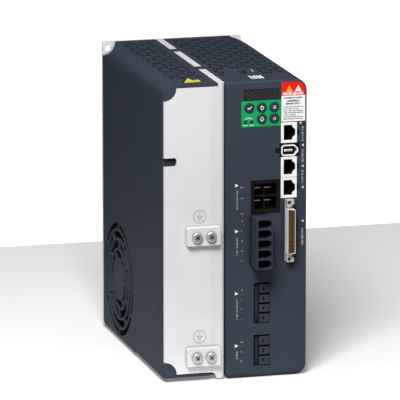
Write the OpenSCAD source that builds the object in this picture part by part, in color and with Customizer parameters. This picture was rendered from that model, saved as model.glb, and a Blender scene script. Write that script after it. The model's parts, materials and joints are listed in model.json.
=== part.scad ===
// Wall-mounted servo drive: a cast heat sink with a fan duct on its left and the
// electronics casing on its right. The front faces -Y, +X is to the right and +Z is up.
// The origin is on the mounting plane, in the middle of its bottom edge.

/* [Overall size] */
// Width of the drive
body_w = 117; // [116:0.5:122]
// Height of the electronics casing
body_h = 238; // [236:0.5:242]
// Depth from the mounting plane to the front face
body_d = 194; // [190:1:204]
// Wall thickness of the plastic mouldings
shell_t = 2.2; // [1.8:0.1:2.4]

/* [Heat sink] */
// Width of the fan duct, left of the heat sink wall
duct_w = 44.7; // [44:0.1:45.5]
// Thickness of the heat sink wall between duct and electronics
wall_t = 5.7; // [5:0.1:6]
// Thickness of the rear mounting plate
rear_t = 3; // [2.5:0.5:4]
// Thickness of the front earthing plate
plate_t = 3; // [2.5:0.1:3]
// Radius of the quarter-round cut-outs in the front plate's left corners
plate_cut_r = 10; // [8:0.5:12]
// Distance from one cooling fin to the next
fin_pitch = 6; // [5:0.5:8]
// Thickness of a cooling fin
fin_t = 1.6; // [1.2:0.1:2]

/* [Wall mounting] */
// Diameter of the two top fixing holes
fix_hole_d = 5; // [4.5:0.1:5.5]
// Distance of the fixing holes from the side edges
fix_inset = 4.8; // [4.6:0.1:5]
// Distance of the fixing holes from the top edge
fix_drop = 5.7; // [5:0.1:6]
// Radius of the cut-outs round the top fixing tabs
tab_cut_r = 11; // [10:0.5:12]

/* [Earth terminals] */
// Distance between the two screws of an earth pad
earth_pitch = 11.3; // [11:0.1:12]
// Height that an earth pad stands out of the plate
earth_pad_h = 4; // [3:0.5:5]
// Head diameter of the earth screws
earth_head_d = 8; // [7:0.5:8.5]

/* [Duct and fan] */
// Height of the duct cover above the casing's base
duct_lift = 3.4; // [3:0.1:4]
// Radius of the duct cover's long top edge
duct_edge_r = 12; // [8:1:13]
// Side of the square fan
fan_size = 92; // [90:1:92]
// Thickness of the fan
fan_depth = 25; // [24:0.5:26]
// Distance from the front face to the fan's axis
fan_y = 140.4; // [139:0.1:142]
// Height of the fan's axis
fan_z = 51.7; // [51.7:0.1:53]
// Number of fan blades
fan_blades = 7; // [5:1:9]
// Radius of the fan grille's opening
grille_r = 46.3; // [44:0.1:46.5]
// Width of the bars of the fan grille
grille_bar = 2; // [1.5:0.1:2.5]

/* [Front panel] */
// Depth of the front cover along the casing
cover_d = 14; // [13:0.5:16]
// Radius of the casing's right-hand corners
casing_r = 9; // [7:0.5:10]
// Radius of the edge round the front face
front_edge_r = 1.6; // [1:0.1:2]
// Diameter of the keypad buttons
button_d = 7.6; // [7:0.1:8]
// Travel of a keypad button
button_travel = 0.6; // [0.3:0.1:0.7]
// Distance between the keypad's button columns
button_dx = 10.15; // [9.8:0.05:10.3]
// Distance between the keypad's button rows
button_dz = 9.1; // [9:0.1:9.5]

/* [Connectors] */
// Distance between the poles of the pluggable terminals
pole_pitch = 7.75; // [7.6:0.05:7.8]
// Distance between the poles of the mains plug
mains_pitch = 8.05; // [8:0.01:8.1]
// Distance that the mains plug stands out of the front
mains_proud = 18; // [15:0.5:20]
// Height of a jack's metal face
jack_h = 16.4; // [16:0.1:16.5]
// Width of a jack's metal face
jack_w = 13; // [12.8:0.1:13]
// Distance between the pins of the I/O receptacle
io_pitch = 1.4; // [1.3:0.05:1.42]

/* [Ventilation] */
// Distance between two pairs of vent holes across the casing
vent_dx = 13.3; // [12.5:0.1:15]
// Distance between two rows of vent holes
vent_dy = 8.7; // [8.5:0.1:10]
// Half the width of a pair of vent holes
vent_w = 5.2; // [4.4:0.1:5.4]

/* [Hidden] */
$fn = 64;
hull_fn = 32;
fit = 0.3;
over = 1;
case_x = duct_w + wall_t + fit;
rear_y = body_d - rear_t;
shell_y = rear_y - fit;
plate_x0 = 1.1;
plate_x1 = duct_w + wall_t - 0.5;
plate_z0 = 6.3;
plate_z1 = body_h - 2.4;
foot_x = 38.3;
foot_z = 1;
duct_x1 = duct_w - fit;
earth_x = plate_x0 + 31.2;
earth_z = [19.8, 117];
scoop_wall = 1.2;
fan_x0 = 4;
fan_hub_r = 17.5;
fan_hole = fan_size * 0.4484;
fan_bore_r = 1.54;
fan_shaft_r = 1.5;
panel_r = 50.5;
panel_y0 = fan_y - panel_r - 1.9;
panel_z1 = fan_z + panel_r - 1;
key_x = case_x + 12.8;
key_z = body_h - 36.1;
button_x = key_x + 6.4;
button_z = key_z + 5.9;
window_x = case_x + 14.8;
window_z = body_h - 15.1;
window_w = 29;
window_h = 9.1;
hmi_y = 8.5;
board_t = 1.6;
power_x = case_x + 18.8;
terminal_x = power_x + board_t;
jack_x = body_w - 21.4;
jack_z = [body_h - 50.3, 160.2, 143.6];
jack_deep = 21;
control_x = body_w - 6.1;
encoder_z = 181.7;
encoder_h = 9;
io_x = body_w - 17.9;
io_z = 117.9;
io_w = 6.2;
io_rim = 0.4;
io_pins_per_row = 25;
io_proud = 9;
io_insert_y = 0.5 - io_proud;
dc_z0 = 132.2;
dc_z1 = 158.9;
mains_z0 = 90.9;
mains_h = 5 * mains_pitch;
motor_z0 = 44.1;
brake_z0 = 9.7;
plug_x = terminal_x + 4.2;
plug_w = 11.3;
header_deep = 26;
capacitor_r = 15.5;
standoff_at = [[44, 16], [180, 16], [180, 212], [44, 212]];

// ---- placing and drawing helpers ----

// X runs from the left edge, Y from the front face and Z from the base, inside place()
module place() translate([-body_w / 2, -body_d, 0]) children();

module block(low, high) translate(low) cube(high - low);

// A flat outline in X and Z, extruded between two depths
module along_y(y0, y1) translate([0, y1, 0]) rotate([90, 0, 0]) linear_extrude(y1 - y0) children();

// A flat outline in Y and Z, extruded between two widths
module along_x(x0, x1) translate([x0, 0, 0]) rotate([90, 0, 90]) linear_extrude(x1 - x0) children();

module rod_y(x, z, y0, y1, r) translate([x, y1, z]) rotate([90, 0, 0]) cylinder(r = r, h = y1 - y0);

module rod_x(y, z, x0, x1, r) translate([x0, y, z]) rotate([0, 90, 0]) cylinder(r = r, h = x1 - x0);

// The waste outside a rounded corner; sx and sy point from the corner into the shape
module corner_waste(x, y, sx, sy, r)
    if (r > 0)
        translate([x, y]) mirror([sx < 0 ? 1 : 0, 0]) mirror([0, sy < 0 ? 1 : 0])
            difference() {
                translate([-over, -over]) square(r + over);
                translate([r, r]) circle(r = r);
            }

// A rectangle with its own radius at each corner: low-left, low-right, top-right, top-left
module round_rect(x0, x1, y0, y1, r)
    difference() {
        translate([x0, y0]) square([x1 - x0, y1 - y0]);
        corner_waste(x0, y0, 1, 1, r[0]);
        corner_waste(x1, y0, -1, 1, r[1]);
        corner_waste(x1, y1, -1, -1, r[2]);
        corner_waste(x0, y1, 1, -1, r[3]);
    }

// Staggered six-sided vents through a wall lying across Z, each split in two by a slanted
// web. The first pair of row 0 is centred on x; holes stay between low and high in X and Y,
// and the corner below keep_x and keep_y is left closed
module vent_field(x, low, high, z0, z1, keep_x = 0, keep_y = 0) {
    half_h = 3.9;
    shoulder = vent_w - 2.4;
    web = 0.6;
    lean = 0.9;
    for (row = [0:floor((high[1] - low[1]) / vent_dy)], col = [-1:4], side = [-1, 1]) {
        cx = x + (col + (row % 2) / 2) * vent_dx;
        cy = low[1] + row * vent_dy;
        hole_x = cx + side * vent_w / 2;
        if (hole_x > low[0] && hole_x < high[0] && (hole_x > keep_x || hole_x < low[0] + 4 || cy > keep_y))
            translate([cx, cy, z0]) linear_extrude(z1 - z0) rotate(side > 0 ? 0 : 180)
                polygon([[vent_w, 0], [shoulder, half_h], [lean + web, half_h], [web - lean, -half_h],
                         [shoulder, -half_h]]);
    }
}

// The scoop round a fixing tab: a short round pocket that runs out forwards as a cone,
// grown by g and reaching back past the shell by reach
module tab_scoop(x, g, reach) {
    scoop_l = 44;
    pocket_l = 4;
    rod_y(x, body_h, shell_y - pocket_l, shell_y + reach, tab_cut_r + g);
    translate([x, shell_y - pocket_l + 0.01, body_h]) rotate([90, 0, 0])
        cylinder(r1 = tab_cut_r + g, r2 = 0.5 + g, h = scoop_l);
}

// A cross-recessed pan-head screw along -Y, its head resting at depth y
module pan_screw_y(x, z, y, head_r, head_h, shank_r, shank_l) {
    difference() {
        rod_y(x, z, y - head_h, y, head_r);
        for (turn = [45, 135])
            translate([x, y - head_h, z]) rotate([0, turn, 0])
                cube([head_r, head_h, head_r / 4], center = true);
    }
    rod_y(x, z, y - 0.01, y + shank_l, shank_r);
}

// ---- heat sink side ----

// The front plate's outline, grown by g on every side
module plate_outline(g)
    difference() {
        translate([plate_x0 - g, plate_z0 - g])
            square([plate_x1 - plate_x0 + 2 * g, plate_z1 - plate_z0 + 2 * g]);
        for (z = [plate_z0, plate_z1])
            translate([plate_x0, z]) circle(r = plate_cut_r - g);
    }

module earth_pad(z) {
    pad_w = 26.6;
    pad_h = 14.4;
    along_y(-earth_pad_h, 0.01)
        round_rect(earth_x - pad_w / 2, earth_x + pad_w / 2, z - pad_h / 2, z + pad_h / 2,
                   [1.5, 1.5, 1.5, 1.5]);
}

module fins() {
    fin_root = duct_w + 0.5;
    fin_tip = 7;
    fan_clear = fan_x0 + fan_depth + 3.5;
    top = body_h - 11;
    low = duct_lift + 10;
    for (y = [12:fin_pitch:fan_y - fan_size / 2 - fin_t - 4])
        block([fin_tip, y, low], [fin_root, y + fin_t, top]);
    for (y = [fan_y - fan_size / 2 - 2:fin_pitch:rear_y - fin_t - 1])
        along_y(y, y + fin_t)
            polygon([[fin_root, low], [fan_clear, low], [fan_clear, fan_z + fan_size / 2 + 5],
                     [fin_tip, fan_z + fan_size / 2 + 5], [fin_tip, top], [fin_root, top]]);
}

module heat_sink() color("gainsboro") place() {
    slot_h = 7;
    slot_l = 10.1;
    foot_r = plate_z0 - foot_z;
    bridge_w = 12;
    difference() {
        union() {
            along_y(rear_y, body_d) round_rect(0, body_w, 0, body_h, [1.5, 1.5, 1.5, 1.5]);
            block([duct_w, 0, foot_z], [duct_w + wall_t, rear_y + 0.01, body_h]);
            along_y(0, plate_t) plate_outline(0);
            along_y(0, plate_t) difference() {
                translate([foot_x, foot_z]) square([duct_w - foot_x + 0.01, foot_r + 0.01]);
                translate([foot_x, foot_z]) circle(r = foot_r);
            }
            for (z = earth_z) earth_pad(z);
            fins();
        }
        for (x = [fix_inset, body_w - fix_inset]) {
            rod_y(x, body_h - fix_drop, rear_y - over, body_d + over, fix_hole_d / 2);
            rod_y(x, fix_drop, rear_y - over, body_d + over, fix_hole_d / 2);
            block([x - fix_hole_d / 2, rear_y - over, -over], [x + fix_hole_d / 2, body_d + over, fix_drop]);
        }
        for (z = earth_z, side = [-0.5, 0.5])
            rod_y(earth_x + side * earth_pitch, z, -earth_pad_h - over, plate_t + over, 2.1);
        along_y(-over, plate_t + over) {
            round_rect(plate_x0 - over, plate_x0 + slot_l, 173.5, 173.5 + slot_h, [0, 2.2, 2.2, 0]);
        }
        for (y = bridge_y())
            block([duct_w - over, y, body_h - 6], [duct_w + wall_t + over, y + bridge_w, body_h + over]);
        linear_extrude(body_h + over) corner_waste(duct_w + wall_t, 0, -1, 1, 2.5);
    }
}

// Depths at which the two bridge clips start
function bridge_y() = [58.8, 134.8];

module bridge_clips() color("darkslategray") place()
    for (y = bridge_y()) {
        block([duct_w, y + 0.1, body_h - 5.8], [duct_w + wall_t, y + 11.9, body_h]);
        block([duct_w - 4, y + 2, body_h - 5.8], [duct_w + 0.1, y + 10, body_h - shell_t - fit]);
    }

module earth_screws() color("silver") place()
    for (z = earth_z, side = [-0.5, 0.5])
        pan_screw_y(earth_x + side * earth_pitch, z, -earth_pad_h, earth_head_d / 2, 2.8, 2, earth_pad_h + plate_t);

// The duct cover's outline, drawn in by g
module duct_outline(g)
    round_rect(g, duct_x1, duct_lift + g, body_h - g, [max(1.5 - g, 0), 0, 0, duct_edge_r - g]);

// The fan panel's outline in Y and Z, grown by g
module panel_outline(g)
    difference() {
        translate([panel_y0 - g, duct_lift - (g > 0 ? over : 0)])
            square([shell_y + (g > 0 ? over : 0) - panel_y0 + g, panel_z1 + g - duct_lift + (g > 0 ? over : 0)]);
        difference() {
            translate([panel_y0 - g - over, fan_z]) square([fan_y - panel_y0 + g + over, panel_r + over * 2]);
            translate([fan_y, fan_z]) circle(r = panel_r - 0.9 + g, $fn = 128);
        }
    }

module duct_cover() color("darkslategray") place() {
    front_y = 0.8;
    draft_x = 1;
    difference() {
        union() {
            difference() {
                along_y(front_y, shell_y) duct_outline(0);
                along_y(plate_t + fit + shell_t, shell_y + over) difference() {
                    duct_outline(shell_t);
                    translate([0, 0]) square([shell_t, body_h]);
                }
                block([duct_x1 - shell_t, plate_t + fit + shell_t, duct_lift + shell_t],
                      [duct_x1 + over, shell_y + over, body_h - shell_t]);
            }
            intersection() {
                along_y(cover_d, shell_y) duct_outline(0);
                tab_scoop(-fit, scoop_wall, 0);
            }
        }
        along_y(-over, plate_t + fit) plate_outline(fit);
        block([foot_x - fit, -over, -over], [duct_w, plate_t + fit, plate_z0 + fit]);
        translate([-draft_x, 0, 0]) linear_extrude(body_h + over)
            polygon([[0, -over], [draft_x * 2, -over], [draft_x * 2, front_y], [draft_x, cover_d], [0, cover_d]]);
        along_x(-over, shell_t + fit) panel_outline(0.25);
        vent_field(12.6, [14.5, 30], [duct_x1 - 6, shell_y - 5], body_h - shell_t - over, body_h + over);
        tab_scoop(-fit, 0, over);
        for (y = bridge_y())
            block([duct_w - 4.3, y + 1.7, body_h - 6.1], [duct_w, y + 10.3, body_h - shell_t]);
    }
}

// Ring and spoke grille in the fan panel
module grille_cuts() {
    ring_r = [fan_hub_r, 24.5, 32.7, 40.5, grille_r];
    for (k = [0:3])
        rotate([0, 0, k * 30])
            difference() {
                circle(r = ring_r[k + 1] - (k < 3 ? grille_bar / 2 : 0), $fn = 96);
                circle(r = ring_r[k] + (k > 0 ? grille_bar / 2 : 0), $fn = 96);
                for (spoke = [0:60:120])
                    rotate(spoke) square([2 * grille_r + over, grille_bar], center = true);
            }
}

module fan_cover() color("darkslategray") place()
    difference() {
        union() {
            along_x(0, shell_t) difference() {
                panel_outline(0);
                corner_waste(shell_y, duct_lift, -1, 1, 4);
            }
            for (side = [-1, 1])
                rod_x(fan_y + side * fan_hole, fan_z + side * fan_hole, shell_t - 0.01, fan_x0, 3.4);
        }
        along_x(-over, shell_t + over) translate([fan_y, fan_z]) grille_cuts();
        for (side = [-1, 1])
            rod_x(fan_y + side * fan_hole, fan_z + side * fan_hole, 1, fan_x0 + over, 1.9);
    }

module fan_frame() color("dimgray") place() {
    half = fan_size / 2;
    duct_r = half - 1.8;
    boss_r = 16;
    tube_r = 4.2;
    x1 = fan_x0 + fan_depth;
    difference() {
        union() {
            difference() {
                along_x(fan_x0, x1)
                    round_rect(fan_y - half, fan_y + half, fan_z - half, fan_z + half, [3, 3, 3, 3]);
                along_x(fan_x0 - over, x1 + over) translate([fan_y, fan_z]) difference() {
                    circle(r = duct_r, $fn = 96);
                    circle(r = boss_r);
                    for (arm = [30:90:300])
                        rotate(arm) translate([0, -2]) square([half, 4]);
                }
                rod_x(fan_y, fan_z, fan_x0 - over, x1 - 3, duct_r - 0.01);
            }
            rod_x(fan_y, fan_z, fan_x0 + 6, x1 - 2, tube_r);
        }
        rod_x(fan_y, fan_z, fan_x0 + 5, x1 - 1, 3);
        for (dy = [-1, 1], dz = [-1, 1])
            rod_x(fan_y + dy * fan_hole, fan_z + dz * fan_hole, fan_x0 - over, x1 + over, 2.15);
    }
}

module fan_bearings() color("silver") place()
    for (x = [fan_x0 + 6.5, fan_x0 + 18])
        difference() {
            rod_x(fan_y, fan_z, x, x + 3, 3);
            rod_x(fan_y, fan_z, x - over, x + 3 + over, fan_bore_r);
        }

module fan_stator() color("peru") place() {
    stator_bore_r = 4.5;
    difference() {
        union() {
            rod_x(fan_y, fan_z, fan_x0 + 8, fan_x0 + 18, 7);
            for (pole = [0:90:270])
                translate([fan_x0 + 13, fan_y, fan_z]) rotate([pole, 0, 0])
                    translate([0, 9.5, 0]) cube([8, 7, 8], center = true);
        }
        rod_x(fan_y, fan_z, fan_x0 + 7, fan_x0 + 19, stator_bore_r);
    }
}

module fan_rotor() color("black") place() {
    hub_r = fan_hub_r;
    blade_tip = fan_size / 2 - 3.2;
    hub_l = 19;
    difference() {
        rod_x(fan_y, fan_z, fan_x0 + 1, fan_x0 + 1 + hub_l, hub_r);
        rod_x(fan_y, fan_z, fan_x0 + 3.5, fan_x0 + 2 + hub_l, hub_r - 1.8);
        rod_x(fan_y, fan_z, fan_x0, fan_x0 + 5, fan_shaft_r);
    }
    for (k = [0:fan_blades - 1])
        translate([fan_x0 + 10, fan_y, fan_z]) rotate([k * 360 / fan_blades, 0, 0])
            translate([0, 0, hub_r - 0.6]) rotate([0, 0, 38])
                translate([-0.9, -10, 0]) cube([1.8, 20, blade_tip - hub_r - 0.8]);
}

module fan_shaft() color("silver") place()
    rod_x(fan_y, fan_z, fan_x0 + 1.5, fan_x0 + 22, fan_shaft_r);

// Two screws at opposite corners hold the fan to its cover
module fan_screws() color("silver") place()
    for (side = [-1, 1]) {
        rod_x(fan_y + side * fan_hole, fan_z + side * fan_hole, 1.5, fan_x0 + fan_depth + 0.01, 1.8);
        rod_x(fan_y + side * fan_hole, fan_z + side * fan_hole, fan_x0 + fan_depth, fan_x0 + fan_depth + 2.2, 3.5);
    }

module top_label() color("gold") place()
    translate([0, 0, body_h]) linear_extrude(0.15) polygon([[19.5, 9], [34, 9], [27.4, 27.5]]);

// ---- casing side ----

// The casing's outline, drawn in by g
module casing_outline(g)
    round_rect(case_x + g, body_w - g, g, body_h - g,
               [max(4 - g, 0), casing_r - g, casing_r - g, max(1.5 - g, 0)]);

// The jack's stepped mouth, drawn in by g
module jack_mouth(x, z, g) {
    translate([x + 2.3 + g, z + 2.2 + g]) square([6.9 - 2 * g, 12 - 2 * g]);
    translate([x + 2.3 + g, z + 8.2])
        polygon([[0, -4.6 + g], [6.8 - g, -4.6 + g], [9.4 - 2 * g, -2.2 + g], [9.4 - 2 * g, 2.2 - g],
                 [6.8 - g, 4.6 - g], [0, 4.6 - g]]);
}

// Openings in the front cover, as outlines in X and Z
module front_openings() {
    translate([window_x, window_z]) square([window_w, window_h]);
    for (z = jack_z) {
        translate([jack_x - 0.15, z - 0.15]) square([jack_w + 0.3, jack_h + 0.3]);
        translate([jack_x + jack_w, z + jack_h / 2 - 2.4]) square([1.6, 4.8]);
    }
    translate([jack_x - 1.1, encoder_z - 5.2]) square([16.2, 11]);
    translate([jack_x - 4.4, encoder_z - 1.9]) square([19.6 + 0.7, 3.9]);
    translate([io_x - 0.3, io_z - 25.3]) square([io_w + 0.6, 50.6]);
    translate([terminal_x - 0.1, dc_z0 - 0.15]) square([24.3, dc_z1 - dc_z0 + 0.3]);
    translate([terminal_x - 0.3, mains_z0 - 0.4]) square([13.8, mains_h + 0.8]);
    translate([plug_x - 1.6, motor_z0 - 0.6]) square([plug_w + 2, 4 * pole_pitch + 1.9]);
    translate([plug_x - 1.6, brake_z0 - 0.6]) square([plug_w + 2, 3 * pole_pitch + 1.9]);
}

function button_place(col, row) = [button_x + col * button_dx, button_z + row * button_dz];

button_at = [button_place(0, 1), button_place(1, 1), button_place(2, 1), button_place(1, 0), button_place(2, 0)];

module front_cover() color("darkslategray") place()
    difference() {
        hull() {
            for (a = [0:30:90])
                along_y(front_edge_r * (1 - cos(a)), front_edge_r * (1 - cos(a)) + 0.01)
                    casing_outline(front_edge_r * (1 - sin(a)), $fn = hull_fn);
            along_y(cover_d - 0.01, cover_d) casing_outline(0, $fn = hull_fn);
        }
        along_y(2.5, cover_d + over) casing_outline(shell_t);
        along_y(-over, 3) front_openings();
        along_y(-over, 0.55) translate([key_x - 0.15, key_z - 0.15]) square([32.4, 20.9]);
        for (p = button_at) rod_y(p[0], p[1], -over, 3, button_d / 2 + 0.35);
        for (dx = [0, 4.9]) rod_y(button_x - 3.1 + dx, button_z - 1.9, -over, 3, 1.55);
        block([body_w - 1.4, 2, 55.9], [body_w + over, 5, 62.4]);
    }

module side_casing() color("darkslategray") place()
    difference() {
        union() {
            along_y(cover_d + 0.2, shell_y) difference() {
                casing_outline(0);
                casing_outline(shell_t);
                translate([case_x - over, shell_t]) square([shell_t + over + 2, body_h - 2 * shell_t]);
            }
            intersection() {
                along_y(cover_d + 0.2, shell_y) casing_outline(0);
                tab_scoop(body_w + fit, scoop_wall, 0);
            }
        }
        vent_field(case_x + 3.6, [case_x + 4.5, 32.3], [body_w - 11, shell_y - 5], body_h - shell_t - over,
                   body_h + over, 88, 53);
        vent_field(case_x + 3.6, [case_x + 4.5, 32.3], [body_w - 11, shell_y - 5], -over, shell_t + over);
        block([71.7, 33, body_h - shell_t - over], [78.3, 47, body_h + over]);
        tab_scoop(body_w + fit, 0, over);
    }

module display_window() color([0.12, 0.1, 0.09]) place()
    block([window_x + 0.15, 0, window_z + 0.15],
          [window_x + window_w - 0.15, 2.4, window_z + window_h - 0.15]);

module display_module() color("dimgray") place()
    difference() {
        block([window_x + 1, 2.6, window_z - 0.6], [window_x + window_w - 1, hmi_y, window_z + window_h + 0.6]);
        for (digit = [0:4])
            digit_recess(window_x + 2.2 + digit * 5.4, window_z + 1.1);
    }

// The seven recessed bars of one digit, with a small gap at each corner
module digit_recess(x, z) {
    bar_w = 0.7;
    bar_l = 2.2;
    gap = 0.1;
    step = bar_l + bar_w;
    for (level = [0:2])
        block([x + bar_w + gap, 2.5, z + level * step],
              [x + step - gap, 3, z + level * step + bar_w]);
    for (side = [0, 1], level = [0, 1])
        block([x + side * step, 2.5, z + bar_w + level * step + gap],
              [x + side * step + bar_w, 3, z + (level + 1) * step - gap]);
}

module hmi_board() color("darkgreen") place()
    block([case_x + 9, hmi_y, key_z - 2], [jack_x - 0.6, hmi_y + board_t, body_h - 3.4]);

module key_switches() color("silver") place()
    for (p = button_at) {
        block([p[0] - 3, hmi_y - 3.2, p[1] - 3], [p[0] + 3, hmi_y, p[1] + 3]);
        rod_y(p[0], p[1], hmi_y - 3.9, hmi_y - 3.1, 1.6);
    }

module keypad_overlay() color("seagreen") place()
    difference() {
        block([key_x, -0.2, key_z], [key_x + 32.1, 0.55, key_z + 20.6]);
        for (p = button_at) rod_y(p[0], p[1], -over, over, button_d / 2 + 0.35);
        for (dx = [0, 4.9]) rod_y(button_x - 3.1 + dx, button_z - 1.9, -over, over, 1.55);
    }

module button(p) color([0.16, 0.19, 0.24]) place() {
    rod_y(p[0], p[1], -0.9, 3, button_d / 2);
    rod_y(p[0], p[1], 2.9, hmi_y - 4 - button_travel, button_d / 2 + 0.7);
}

module ok_button() button(button_at[0]);
module up_button() button(button_at[1]);
module mode_button() button(button_at[2]);
module down_button() button(button_at[3]);
module set_button() button(button_at[4]);

module status_lights() color([0.1, 0.3, 0.15]) place()
    for (dx = [0, 4.9])
        rod_y(button_x - 3.1 + dx, button_z - 1.9, -0.35, hmi_y, 1.4);

module danger_label() color("crimson") place()
    along_y(-0.12, 0)
        round_rect(jack_x + 0.4, body_w - 1.7, body_h - 33.6, body_h - 1.8, [0.3, 0.3, casing_r - 1.7, 0.3]);

// ---- signal connectors ----

module jack_shield(z) color("whitesmoke") place()
    difference() {
        union() {
            block([jack_x, -0.6, z], [jack_x + jack_w, jack_deep, z + jack_h]);
            block([jack_x + over, 9, z + 1], [control_x, jack_deep, z + jack_h - 1]);
        }
        along_y(-over, 1) jack_mouth(jack_x, z, 0);
        block([jack_x + 0.6, 0.4, z + 0.6], [jack_x + jack_w - 0.6, jack_deep - 2, z + jack_h - 0.6]);
    }

module jack_insert(z) color("black") place()
    difference() {
        block([jack_x + 0.6, 0.4, z + 0.6], [jack_x + jack_w - 0.6, jack_deep - 2, z + jack_h - 0.6]);
        along_y(-over, 14) jack_mouth(jack_x, z, 0);
        for (pin = [0:7])
            block([jack_x + 1.5, 1.4, z + 4 + pin * 1.17], [jack_x + 2.4, 14.2, z + 4.45 + pin * 1.17]);
    }

module serial_jack_shield() jack_shield(jack_z[0]);
module serial_jack_insert() jack_insert(jack_z[0]);
module bus_in_jack_shield() jack_shield(jack_z[1]);
module bus_in_jack_insert() jack_insert(jack_z[1]);
module bus_out_jack_shield() jack_shield(jack_z[2]);
module bus_out_jack_insert() jack_insert(jack_z[2]);

// Eight sprung wires in each jack
module jack_contacts() color("gold") place()
    for (z = jack_z, pin = [0:7])
        translate([0, 0, z + 4 + pin * 1.17]) linear_extrude(0.45)
            polygon([[jack_x + 1.5, 1.4], [jack_x + 1.9, 1.4], [jack_x + 4.1, 11.6], [jack_x + 4.1, 12],
                     [jack_x + 3.6, 12], [jack_x + 1.9, 4.6], [jack_x + 1.9, 14.2], [jack_x + 1.5, 14.2]]);

// The encoder socket's D-shaped outline, drawn in by g
module encoder_ring(g)
    difference() {
        round_rect(jack_x + 0.2 + g, jack_x + 14.1 - g, encoder_z - encoder_h / 2 + g, encoder_z + encoder_h / 2 - g,
                   [max(2.6 - g, 0.4), 0, 0, max(2.6 - g, 0.4)]);
        for (side = [-1, 1])
            translate([jack_x + 14.1 - g, encoder_z + side * (encoder_h / 2 - g)]) rotate(45)
                square((3.2 - g * 0.6) * sqrt(2), center = true);
    }

module encoder_housing() color("black") place()
    difference() {
        union() {
            block([jack_x - 0.9, -0.2, encoder_z - 5], [jack_x + 14.9, 17, encoder_z + 5.6]);
            block([jack_x - 4.2, 0, encoder_z - 1.7], [jack_x + 15.7, 2.2, encoder_z + 1.8]);
            block([jack_x + 2, 9, encoder_z - 4], [control_x, 17, encoder_z + 4]);
        }
        along_y(-over, 11) encoder_ring(-0.05);
    }

module encoder_shell() color("silver") place()
    difference() {
        along_y(-0.8, 11) encoder_ring(0);
        along_y(-1.8, 10.2) encoder_ring(1.1);
    }

module encoder_tongue() color("white") place()
    block([jack_x + 2.7, 0.4, encoder_z - 1.35], [jack_x + 9.5, 10.2, encoder_z + 1.35]);

// The metal shell of the I/O receptacle: a slightly tapered D round the insert
module io_outline(g)
    polygon([[io_x + g, io_z - 18.3 + g], [io_x + io_w - g, io_z - 17.5 + g],
             [io_x + io_w - g, io_z + 17.5 - g], [io_x + g, io_z + 18.3 - g]]);

module io_shell() color("silver") place()
    difference() {
        union() {
            along_y(-io_proud, 3) io_outline(0);
            block([io_x, 0, io_z - 25], [io_x + io_w, 3, io_z + 25]);
            block([io_x + 0.5, 3, io_z - 24], [control_x, 14, io_z + 24]);
        }
        along_y(-io_proud - over, 2) io_outline(io_rim);
    }

module io_insert() color("saddlebrown") place()
    difference() {
        along_y(io_insert_y, 2) io_outline(io_rim);
        for (column = [0, 1], pin = [0:io_pins_per_row - 1])
            io_pin_box(column, pin, 0);
    }

// One contact of the I/O receptacle
module io_pin_box(column, pin, proud) {
    x = io_x + io_w / 2 + (column - 0.5) * 2.6 - 0.35;
    z = io_z + (pin - (io_pins_per_row - 1) / 2) * io_pitch;
    block([x, io_insert_y - proud, z - 0.32], [x + 0.7, 4 - io_proud, z + 0.32]);
}

module io_pins() color("gold") place()
    for (column = [0, 1], pin = [0:io_pins_per_row - 1])
        io_pin_box(column, pin, 0.4);

module io_latches() color("silver") place()
    for (side = [-1, 1])
        difference() {
            block([io_x + 0.2, -5.5, io_z + side * 22 - 3], [io_x + io_w - 0.2, 0, io_z + side * 22 + 3]);
            rod_y(io_x + 2.2, io_z + side * 22.8, -6, -1, 1.5);
            block([io_x + 3.8, -6, io_z + side * 20 - 1.2], [io_x + io_w, -2.5, io_z + side * 20 + 1.2]);
        }

// ---- power connectors ----

module dc_bus_socket() color([0.09, 0.09, 0.1]) place()
    difference() {
        block([terminal_x, -0.3, dc_z0], [terminal_x + 24, 24, dc_z1]);
        block([terminal_x + 2.6, -over, dc_z0 + 2.6], [terminal_x + 21.6, 3.5, dc_z0 + 23.8]);
        for (column = [0, 1], level = [0, 1])
            dc_chamber(column, level);
        for (column = [0, 1], level = [0, 1])
            dc_blade_box(column, level, over);
    }

// One of the four chambers of the DC bus socket
module dc_chamber(column, level) {
    x = terminal_x + 2.6 + column * 10;
    z = dc_z0 + 2.6 + level * 11.2;
    block([x, -over, z], [x + 9, 18, z + 10]);
}

// The blade at the back of a chamber
module dc_blade_box(column, level, back) {
    x = terminal_x + 7.1 + column * 10;
    z = dc_z0 + 7.6 + level * 11.2;
    block([x - 0.6, 9, z - 3], [x + 0.6, 23 + back, z + 3]);
}

module dc_bus_blades() color("silver") place()
    for (column = [0, 1], level = [0, 1])
        dc_blade_box(column, level, 0);

// The five-pole mains plug stands out of the front and pulls off forwards
module mains_plug() color("darkslategray") place()
    difference() {
        union() {
            block([terminal_x, -mains_proud, mains_z0], [terminal_x + 13.1, 2.2, mains_z0 + mains_h]);
            block([terminal_x + 1.2, 2.1, mains_z0 + 1.2], [terminal_x + 11.9, 10, mains_z0 + mains_h - 1.2]);
        }
        for (pole = [0:4]) {
            z = mains_z0 + (pole + 0.5) * mains_pitch;
            along_y(-mains_proud - over, -5)
                polygon([[terminal_x + 1.4, z - 3.5], [terminal_x + 9.8, z - 3.5], [terminal_x + 12.2, z - 1.7],
                         [terminal_x + 12.2, z + 1.7], [terminal_x + 9.8, z + 3.5], [terminal_x + 1.4, z + 3.5]]);
            block([terminal_x + 3, -5 - over, z - 2.6], [terminal_x + 10, 0, z + 2.6]);
            block([terminal_x + 5.5, -over, z - 1], [terminal_x + 7.5, 10 + over, z + 1]);
        }
    }

module mains_clamps() color("silver") place()
    for (pole = [0:4]) {
        z = mains_z0 + (pole + 0.5) * mains_pitch;
        difference() {
            block([terminal_x + 3, -5, z - 2.6], [terminal_x + 10, 0, z + 2.6]);
            block([terminal_x + 3.8, -6, z - 1.8], [terminal_x + 9.2, -0.8, z + 1.8]);
        }
    }

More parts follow.
